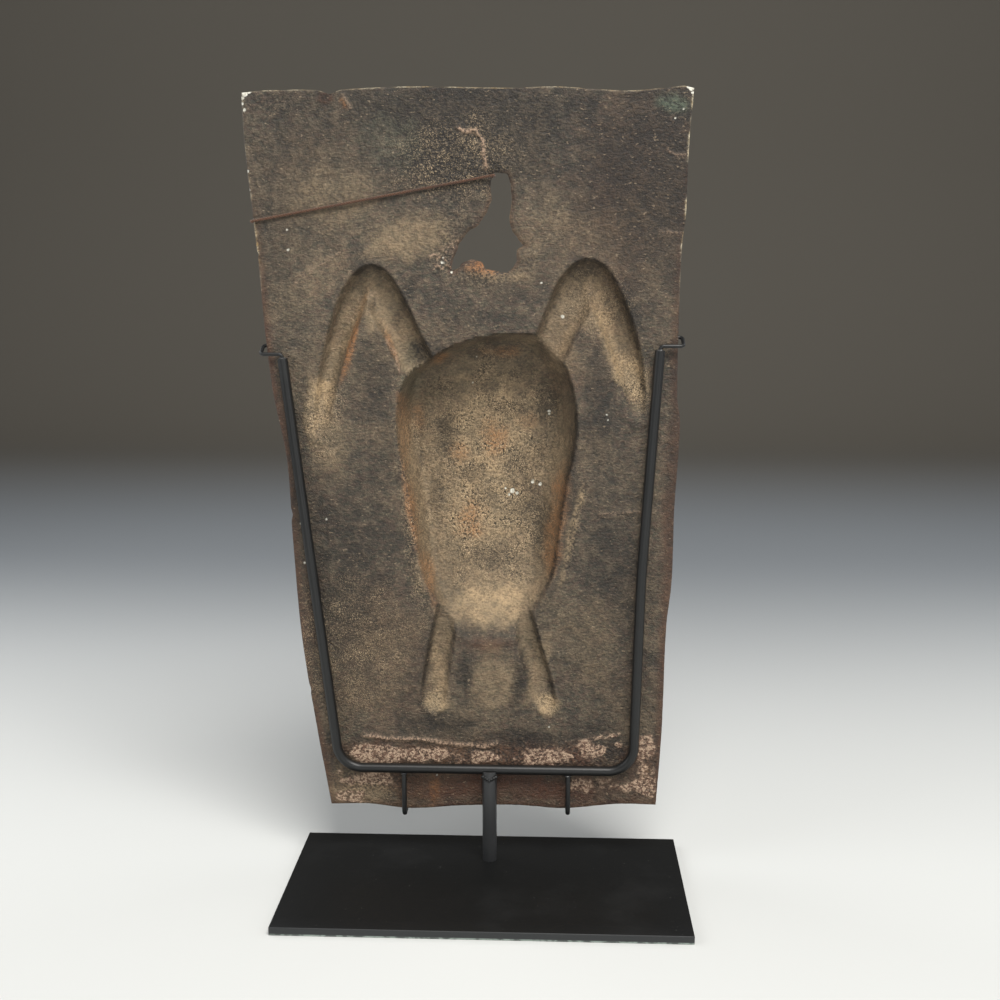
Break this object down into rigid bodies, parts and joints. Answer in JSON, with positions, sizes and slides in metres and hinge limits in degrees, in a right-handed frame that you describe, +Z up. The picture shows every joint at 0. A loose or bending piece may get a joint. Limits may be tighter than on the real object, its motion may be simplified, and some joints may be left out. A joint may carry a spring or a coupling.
{
  "type": "relief plaque on a stand",
  "caption": "Tall tapered cast-metal plaque with a hollow-backed relief figure and a ragged hole, held upright on a flat foot by a black rod cradle.",
  "frame": {"origin": "centre of the base plate's underside", "axes": "+Z up, +Y towards the raised side of the plaque, +X to the right when the hollow back is seen"},
  "size_m": [0.2764, 0.1315, 0.5012],
  "materials": {
    "cast_metal": "dark brown patina, granular and worn",
    "cord": "thin twisted brown cord",
    "stand": "satin black paint"
  },
  "bodies": {
    "root": {"plaque": "cast_metal", "cord_loop": "cord", "base_plate": "stand", "post": "stand", "cradle_rod": "stand", "upper_hook_left": "stand", "upper_hook_right": "stand", "lower_peg_left": "stand", "lower_peg_right": "stand"}
  },
  "joints": []
}
